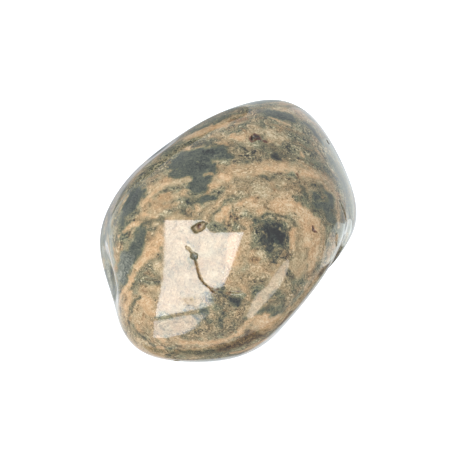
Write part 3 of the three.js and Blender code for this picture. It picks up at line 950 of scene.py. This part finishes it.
lengthened = scaled(millimetres, factor=0.35)
moss_grain = noise_of(
    millimetres, along_strata(pull=1.9), scale=2.9, detail=4, roughness=0.8, distortion=0.25)
streaks = noise_of(lengthened, along_strata(pull=3.2), scale=1, detail=3, roughness=0.6)
threads = noise_of(millimetres, along_strata(pull=0.5), scale=0.95, detail=3, roughness=0.55)
flecks = noise_of(
    millimetres, along_strata(pull=1.2), scale=3.2, detail=2, roughness=0.5, distortion=0.4)
blotches = noise_of(millimetres, along_strata(pull=0.3), scale=0.5, detail=3, roughness=0.55)
specks = noise_of(millimetres, layer=0.0, scale=5, detail=2, roughness=0.6)
warm_clouds = noise_of(millimetres, layer=3.0, scale=0.8, detail=3, roughness=0.55)
crystals = noise_of(millimetres, layer=5.0, scale=4.5, detail=3, roughness=0.6)
wear = noise_of(millimetres, layer=7.0, scale=2.2, detail=4, roughness=0.6)

thread = math_node("SUBTRACT", 1, math_node("ABSOLUTE", swing_of(threads, THREAD_SHARPNESS)), clamp=True)
fleck = swing_of(flecks, FLECK_SHARPNESS, middle=FLECK_START, clamp=True)
shifts = [
    swing_of(moss_grain, gain_of(mossy=3.2, plain=0.3)),
    swing_of(streaks, gain_of(mossy=1.3, plain=0.25)),
    swing_of(blotches, gain=0.45),
    math_node("MULTIPLY", thread, gain_of(mossy=-0.3)),
    math_node("MULTIPLY", fleck, gain_of(mossy=0.34)),
    swing_of(specks, gain=0.3),
]
level = tone_here
for shift in shifts:
    level = math_node("ADD", level, shift)

warm_share = math_node("ADD", warmth_here, swing_of(warm_clouds, WARM_GAIN), clamp=True)
grey_share = math_node("MULTIPLY", warmth_here, GREY_PACE, clamp=True)
crystal_share = math_node("MULTIPLY", cavity_here, swing_of(crystals, CRYSTAL_SHARPNESS, clamp=True))
crystal_share = math_node("MULTIPLY", crystal_share, math_node("SUBTRACT", 1, rust_here))
colour = blend(warm_share, scale_of(GREEN_SCALE, level), scale_of(PEACH_SCALE, level))
colour = blend(grey_share, colour, scale_of(GREY_SCALE, level))
colour = blend(rust_here, colour, blend(specks, DARK_RUST, PALE_RUST))
colour = blend(crystal_share, colour, CRYSTAL)
feed(colour, shader.inputs["Base Color"])

roughness = math_node("ADD", swing_of(wear, WEAR_ROUGHNESS), POLISH_ROUGHNESS)
roughness = math_node("ADD", roughness, math_node("MULTIPLY", cavity_here, PIT_ROUGHNESS), clamp=True)
feed(roughness, shader.inputs["Roughness"])
shader.inputs["IOR"].default_value = JASPER_IOR

crystal_relief = math_node("MULTIPLY", cavity_here, math_node("MULTIPLY", crystals, CRYSTAL_RELIEF))
bump = node("ShaderNodeBump")
bump.inputs["Distance"].default_value = RELIEF_DEPTH * MM
bump.inputs["Strength"].default_value = RELIEF_STRENGTH
feed(math_node("ADD", wear, crystal_relief), bump.inputs["Height"])
feed(bump.outputs["Normal"], shader.inputs["Normal"])

stone_mesh.materials.append(jasper)
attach(stone, "root")
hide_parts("stone")


# The floor
# A plain white sheet, wide enough to fill the picture from any side. It glows a little, so that it comes
# out pure white, and the polish doesn't show it.
FLOOR_REACH = 1500
SHEET_COLOUR = (0.7, 0.71, 0.73, 1)
SHEET_ROUGHNESS = 0.9
SHEET_GLOW = (0.96, 0.98, 1, 1)
SHEET_GLOW_LEVEL = 0.85

floor_shape = bmesh.new()
bmesh.ops.create_grid(floor_shape, x_segments=1, y_segments=1, size=FLOOR_REACH * MM)
floor_mesh = mesh_of("floor", floor_shape)
floor = put_in_scene("floor", floor_mesh)
sheet, sheet_shader = new_finish("white_sheet")
sheet_shader.inputs["Base Color"].default_value = SHEET_COLOUR
sheet_shader.inputs["Roughness"].default_value = SHEET_ROUGHNESS
sheet_shader.inputs["Emission Color"].default_value = SHEET_GLOW
sheet_shader.inputs["Emission Strength"].default_value = SHEET_GLOW_LEVEL
floor_mesh.materials.append(sheet)
floor.visible_glossy = False


# The light
# White light from all round, a soft key light, and what shows in the polish: the two panes of a window, a
# strip light and soft cards. A pane hangs where the polish sends the camera's line of sight from its
# outline, and the window hangs near, as the slope that shows it is almost flat. Other cards stand round it.
SKY_LEVEL = 1.15
SKY_COLOUR = (0.96, 1, 1.04, 1)
WINDOW_DISTANCE = 80
PANE_DISTANCE = 500
CARD_DISTANCE = 560
RUNG_PLACES = 7
WINDOW_TINT = (0.92, 0.965, 1.03, 1)
SKY_TINT = (0.93, 1, 1.02, 1)
WARM_TINT = (1, 0.92, 0.84, 1)
STRIP_TINT = (1, 0.96, 0.93, 1)
# The polish's slope is read over this many millimetres.
NORMAL_STEP = 0.01

sky = bpy.data.worlds.new("sky")
sky.use_nodes = True
sky.node_tree.nodes["Background"].inputs["Color"].default_value = SKY_COLOUR
sky.node_tree.nodes["Background"].inputs["Strength"].default_value = SKY_LEVEL
bpy.context.scene.world = sky
bpy.context.scene.view_settings.view_transform = "Standard"


def surface_normal(place):
    """Which way the polished surface faces at a place on it."""
    slope = []
    for axis in np.eye(3):
        heights = []
        for side in (-1, 1):
            offset = place + axis * NORMAL_STEP * side - MIDDLE
            distance = np.linalg.norm(offset)
            heights.append(distance - reach_along(offset[None] / distance)[0])
        slope.append(heights[1] - heights[0])
    return np.array(slope) / np.linalg.norm(slope)


def mirrored(right, up, distance):
    """The place, this far off, that the polish shows the camera at a place in the picture."""
    place = on_stone(right, up)
    toward_eye = (eye - place) / np.linalg.norm(eye - place)
    normal = surface_normal(place)
    sent = 2 * (normal @ toward_eye) * normal - toward_eye
    return place + sent * distance


def in_polish(distance, *rungs):
    """Rungs, this far off, that the polish shows between pairs of places in the picture."""
    shares = np.linspace(0, 1, RUNG_PLACES)[:, None]
    spans = [np.array(start) + shares * (np.array(end) - start) for start, end in rungs]
    return [[mirrored(*place, distance) for place in span] for span in spans]


def round_about(low, high, *azimuths):
    """Upright rungs round the stone, between two elevations."""
    elevations = np.linspace(low, high, RUNG_PLACES)
    return [[MIDDLE + direction_of(azimuth, elevation) * CARD_DISTANCE for elevation in elevations]
            for azimuth in azimuths]


def pane(name, brightness, tint, rungs):
    """A shining pane, seen only in the polish, that spans its rungs."""
    pane_shape = bmesh.new()
    bmesh.ops.create_grid(pane_shape, x_segments=RUNG_PLACES - 1, y_segments=len(rungs) - 1, size=1)
    for vert, place in zip(pane_shape.verts, [place for rung in rungs for place in rung]):
        vert.co = place * MM
    bmesh.ops.triangulate(pane_shape, faces=pane_shape.faces)
    pane_mesh = mesh_of(name, pane_shape)
    glow, glow_shader = new_finish(name + "_glow")
    glow_shader.inputs["Base Color"].default_value = (0, 0, 0, 1)
    glow_shader.inputs["Specular IOR Level"].default_value = 0
    glow_shader.inputs["Emission Color"].default_value = tint
    glow_shader.inputs["Emission Strength"].default_value = brightness
    pane_mesh.materials.append(glow)
    made = put_in_scene(name, pane_mesh)
    made.visible_camera = False
    made.visible_diffuse = False
    made.visible_shadow = False


pane("window_upper_pane", brightness=8.8, tint=WINDOW_TINT, rungs=in_polish(
    WINDOW_DISTANCE, ((-9.2, 1.4), (-3.9, 1.4)), ((-9.25, 0.4), (-3.3, 0.3)), ((-9.3, -0.4), (-2.6, -0.45)),
    ((-9.3, -0.5), (2, -0.3)), ((-9.3, -1.8), (1.5, -1.5)), ((-9.3, -3), (1.1, -2.6)),
    ((-9.35, -4.2), (0.7, -3.8)), ((-9.4, -5.4), (0.3, -5)), ((-9.5, -6.8), (-0.3, -6.5)),
    ((-9.8, -8.2), (-1, -8)), ((-9.9, -8.8), (-2.6, -8.5)), ((-10.1, -9.8), (-2.7, -9.8)),
    ((-10.4, -11), (-2.8, -10.8)), ((-10.6, -12.4), (-3.6, -11))))
pane("window_lower_pane", brightness=5.9, tint=WINDOW_TINT, rungs=in_polish(
    WINDOW_DISTANCE, ((-10.8, -12.9), (-10.9, -15.3)), ((-8.9, -12.7), (-8.8, -15.3)),
    ((-7, -12.2), (-6.6, -14.8)), ((-4.6, -11.9), (-5, -14)), ((-3.6, -12.3), (-4.5, -13.2))))
pane("strip_light", brightness=4.7, tint=STRIP_TINT, rungs=in_polish(
    PANE_DISTANCE, ((8.3, -4), (8.3, -4.2)), ((7.3, -5), (8.4, -5)), ((6.2, -6.5), (7.9, -6.4)),
    ((5.2, -8), (7, -8.1)), ((3.8, -9), (6, -9.3)), ((3, -10.5), (4.5, -10.8)), ((2.3, -12.2), (3, -12.6))))
pane("right_card", brightness=1.55, tint=SKY_TINT, rungs=in_polish(
    PANE_DISTANCE, ((12.9, 12.9), (13.8, 13)), ((13.2, 11.5), (14.8, 11.3)), ((13.6, 10.2), (15.5, 10)),
    ((14.1, 9), (16.1, 8.8)), ((14.7, 7.7), (16.7, 7.5)), ((15.3, 6.4), (17.1, 6.3)), ((16, 5), (17.4, 5)),
    ((16.5, 3.6), (17.6, 3.6)), ((16.7, 2), (17.6, 2)), ((16.6, 0.5), (17.2, 0.5))))
pane("valley_card", brightness=2.7, tint=SKY_TINT, rungs=in_polish(
    PANE_DISTANCE, ((15.2, 1.2), (16.9, 0.6)), ((14.4, 0), (16.8, -0.3)), ((13.8, -1.5), (16.2, -1.3)),
    ((13.3, -3), (15.5, -2.5)), ((13, -4.3), (14.7, -3.8)), ((12.7, -5.5), (13.7, -5))))
pane("far_card", brightness=0.32, tint=SKY_TINT, rungs=round_about(-48, -3, *range(50, 81, 6)))
pane("far_rim_card", brightness=0.62, tint=WINDOW_TINT, rungs=round_about(-57, -48, *range(50, 81, 6)))
pane("left_card", brightness=0.75, tint=SKY_TINT, rungs=round_about(-56, -6, *range(80, 99, 6)))
pane("near_card", brightness=0.56, tint=WARM_TINT, rungs=round_about(-84, -42, *range(-180, -29, 15)))
pane("top_card", brightness=0.8, tint=SKY_TINT, rungs=round_about(-57, -12, 30, 36, 43, 50))

# The key light hangs left of the camera and behind it, and lights only the stone. Its place is given in
# millimetres from the stone's middle: right in the picture, up in it, and back toward the camera.
KEY_WIDTH = 500
KEY_POWER = 4.5
KEY_RIGHT = -270
KEY_UP = 60
KEY_BACK = 510

key_data = bpy.data.lights.new("key", "AREA")
key_data.shape = "DISK"
key_data.size = KEY_WIDTH * MM
key_data.energy = KEY_POWER
key = put_in_scene("key", key_data)
key_place = MIDDLE + view_right * KEY_RIGHT + view_up * KEY_UP + view_back * KEY_BACK
key.location = Vector(key_place) * MM
key.rotation_mode = "QUATERNION"
key.rotation_quaternion = (Vector(MIDDLE) * MM - key.location).to_track_quat("-Z", "Y")
key.visible_glossy = False
lit_by_key = bpy.data.collections.new("lit_by_key")
lit_by_key.objects.link(stone)
key.light_linking.receiver_collection = lit_by_key
